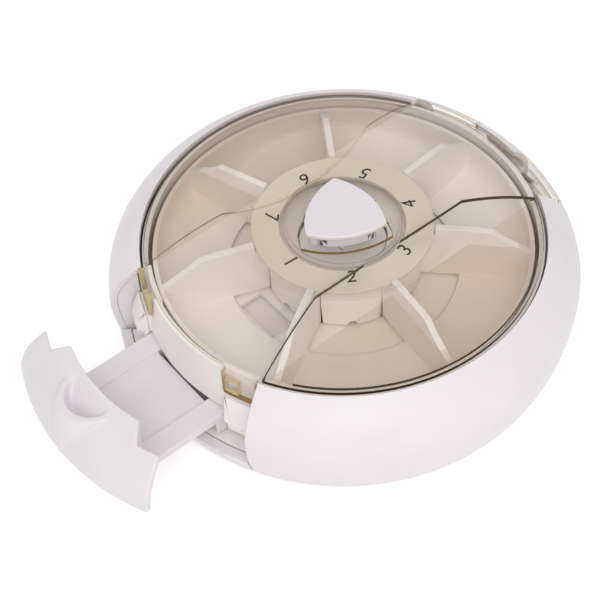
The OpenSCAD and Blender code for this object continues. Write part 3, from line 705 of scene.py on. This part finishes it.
# One even skin over the joined forms, then softened, as a moulding is
made = tempObject(front, "frontWork")
skin = made.modifiers.new("skin", "REMESH")
skin.mode = "VOXEL"
skin.voxel_size = drawer["voxel"]
soften = made.modifiers.new("soften", "SMOOTH")
soften.factor = drawer["softening"]
soften.iterations = drawer["softenings"]
piece("drawerFront", evaluated(made), "drawerWhite", "drawer", ["drawer_front"], angle=80)
print("drawer done")


# Frame, latch posts, shelf and shell returns
recess = {"in": 62.2, "out": 75, "low": 5, "top": 14.5, "angle": 32}
post = {"low": 17.4, "top": 25.3, "angle": 26.4, "back": 61.9, "front": 65.2, "knee": (64.3, 21),
        "crown": 62.5, "tongueNear": (59, 16.4), "tongueFar": (66, 19.3), "outerNear": 58, "outerFar": 67}
shelfSize = {"in": 58, "out": 66.1, "low": 7, "top": 8.6}
flange = {"angle": 27.5, "turn": 1.1, "gap": 0.05, "low": 4, "mouth": 62, "in": 61.5, "top": 34,
          "near": 50, "far": 90}


def boxLine(size):
    # Outline of a flat ring
    return [(size["in"], size["low"]), (size["out"], size["low"]), (size["out"], size["top"]),
            (size["in"], size["top"])]


def bothSides(bm):
    bmesh.ops.mirror(bm, geom=bm.verts[:] + bm.edges[:] + bm.faces[:], axis="X", merge_dist=-1)
    bmesh.ops.recalc_face_normals(bm, faces=bm.faces)
    return bm


cutBack = carve(ring(boxLine(recess)), ("INTERSECT", prism(frontPlan(recess["angle"]))))
inner = carve(copyOf("chassis"), ("DIFFERENCE", cutBack))
piece("innerFrame", inner, "innerWhite", "housing", ["chassis"], edge=0.15)

# Posts under the two latches: the inner flank follows the tongue of the drawer front
postLine = [(post["back"], post["low"]), (post["front"], post["low"]), post["knee"],
            (post["crown"], post["top"]), (post["back"], post["top"])]
postPlan = [frontPoint(*post["tongueNear"]), frontPoint(*post["tongueFar"]),
            frontPoint(post["outerFar"], post["angle"]), frontPoint(post["outerNear"], post["angle"])]
posts = carve(ring(postLine), ("INTERSECT", prism(postPlan)))
piece("latchPosts", bothSides(posts), "innerWhite", "housing", edge=0.18)

# Shelf behind the base lip
shelf = carve(ring(boxLine(shelfSize)), ("INTERSECT", prism(frontPlan(post["angle"]))))
piece("shelf", shelf, "innerWhite", "housing", edge=0.3)

# Returns that close the shell beside the drawer opening
returnLine = bodyLine(flange["low"], flange["mouth"], hull["wall"] + flange["gap"])
returnLine += [(flange["in"], flange["top"]), (flange["in"], flange["low"])]
returnEnd = flange["angle"] + flange["turn"]
returnPlan = [frontPoint(flange["near"], flange["angle"]), frontPoint(flange["far"], flange["angle"]),
              frontPoint(flange["far"], returnEnd), frontPoint(flange["near"], returnEnd)]
returns = carve(ring(returnLine), ("INTERSECT", prism(returnPlan)))
piece("shellReturns", bothSides(returns), "shellWhite", "housing")


# Base, feet and the solids that stay as they are
piece("base", copyOf("base_tray"), "shellWhite", "housing", ["base_tray"], edge=0.3)
piece("feet", copyOf("rubber_feet"), "footRubber", "housing", ["rubber_feet"], edge=0.5, steps=3)
for node in ("base_screws", "hinge_pin", "retaining_clip", "pawl_ring", "return_spring", "detent_spring"):
    dress(node, "steel")
for node in ("ratchet_ring", "glide_washer", "index_driver", "button_stem"):
    dress(node, "innerWhite")
print("mechanism dressed")


# Room, lamps and camera
room = {"size": 3.0, "floor": srgb(246, 245, 245), "white": (1, 1, 1, 1), "lift": 0.36, "sky": 0.62,
        "seen": 1}


def seenOrMirrored(tree):
    # 1 for rays from the camera and from glossy surfaces, 0 for the light that falls on things
    path = tree.nodes.new("ShaderNodeLightPath")
    either = combine(tree, "MAXIMUM", path.outputs["Is Camera Ray"], path.outputs["Is Glossy Ray"])
    return either.outputs["Value"]


def background(tree, strength):
    light = tree.nodes.new("ShaderNodeBackground")
    light.inputs["Color"].default_value = room["white"]
    light.inputs["Strength"].default_value = strength
    return light.outputs["Background"]


bm = bmesh.new()
bmesh.ops.create_grid(bm, x_segments=1, y_segments=1, size=room["size"] / 2)
floor = tempObject(bm, "floor")
paper, tree = newFinish("floorPaper")
out = tree.nodes.new("ShaderNodeOutputMaterial")
matt = tree.nodes.new("ShaderNodeBsdfDiffuse")
matt.inputs["Color"].default_value = room["floor"]
glow = tree.nodes.new("ShaderNodeEmission")
glow.inputs["Color"].default_value = room["white"]
glow.inputs["Strength"].default_value = room["lift"]
both = tree.nodes.new("ShaderNodeAddShader")
tree.links.new(matt.outputs["BSDF"], both.inputs[0])
tree.links.new(glow.outputs["Emission"], both.inputs[1])
pick = tree.nodes.new("ShaderNodeMixShader")
tree.links.new(seenOrMirrored(tree), pick.inputs["Fac"])
tree.links.new(matt.outputs["BSDF"], pick.inputs[1])
tree.links.new(both.outputs["Shader"], pick.inputs[2])
tree.links.new(pick.outputs["Shader"], out.inputs["Surface"])
floor.data.materials.append(paper)

world = bpy.data.worlds.new("studio")
bpy.context.scene.world = world
world.use_nodes = True
tree = world.node_tree
tree.nodes.clear()
out = tree.nodes.new("ShaderNodeOutputWorld")
pick = tree.nodes.new("ShaderNodeMixShader")
tree.links.new(seenOrMirrored(tree), pick.inputs["Fac"])
tree.links.new(background(tree, room["sky"]), pick.inputs[1])
tree.links.new(background(tree, room["seen"]), pick.inputs[2])
tree.links.new(pick.outputs["Shader"], out.inputs["Surface"])

lamps = {
    "keyLamp": {"place": (0.56, -0.36, 0.68), "aim": (0, 0, 0.02), "size": 0.8, "power": 3.8},
    "fillLamp": {"place": (-0.70, -0.20, 0.55), "aim": (0, 0, 0.02), "size": 0.6, "power": 0.4},
}
for name, lamp in lamps.items():
    data = bpy.data.lights.new(name, "AREA")
    data.shape = "SQUARE"
    data.size = lamp["size"]
    data.energy = lamp["power"]
    made = bpy.data.objects.new(name, data)
    bpy.context.scene.collection.objects.link(made)
    made.location = lamp["place"]
    aim = Vector(lamp["aim"]) - Vector(lamp["place"])
    made.rotation_euler = aim.to_track_quat("-Z", "Y").to_euler()

view = {"place": (0.2135, -0.1757, 0.3399), "look": (-0.5095, 0.3786, -0.7727), "roll": -3.272,
        "lens": 83.61, "sensor": 36, "nearest": 0.01}
ahead = Vector(view["look"]).normalized()
level = ahead.cross(Vector((0, 0, 1))).normalized()
rise = level.cross(ahead)
tilt = radians(view["roll"])
across = cos(tilt) * level + sin(tilt) * rise
upward = -sin(tilt) * level + cos(tilt) * rise
data = bpy.data.cameras.new("camera")
data.lens = view["lens"]
data.sensor_width = view["sensor"]
data.sensor_fit = "HORIZONTAL"
data.clip_start = view["nearest"]
camera = bpy.data.objects.new("camera", data)
bpy.context.scene.collection.objects.link(camera)
camera.matrix_world = Matrix((across, upward, -ahead)).transposed().to_4x4()
camera.location = view["place"]
bpy.context.scene.camera = camera
bpy.context.scene.view_settings.view_transform = "Standard"
print("room and camera done")
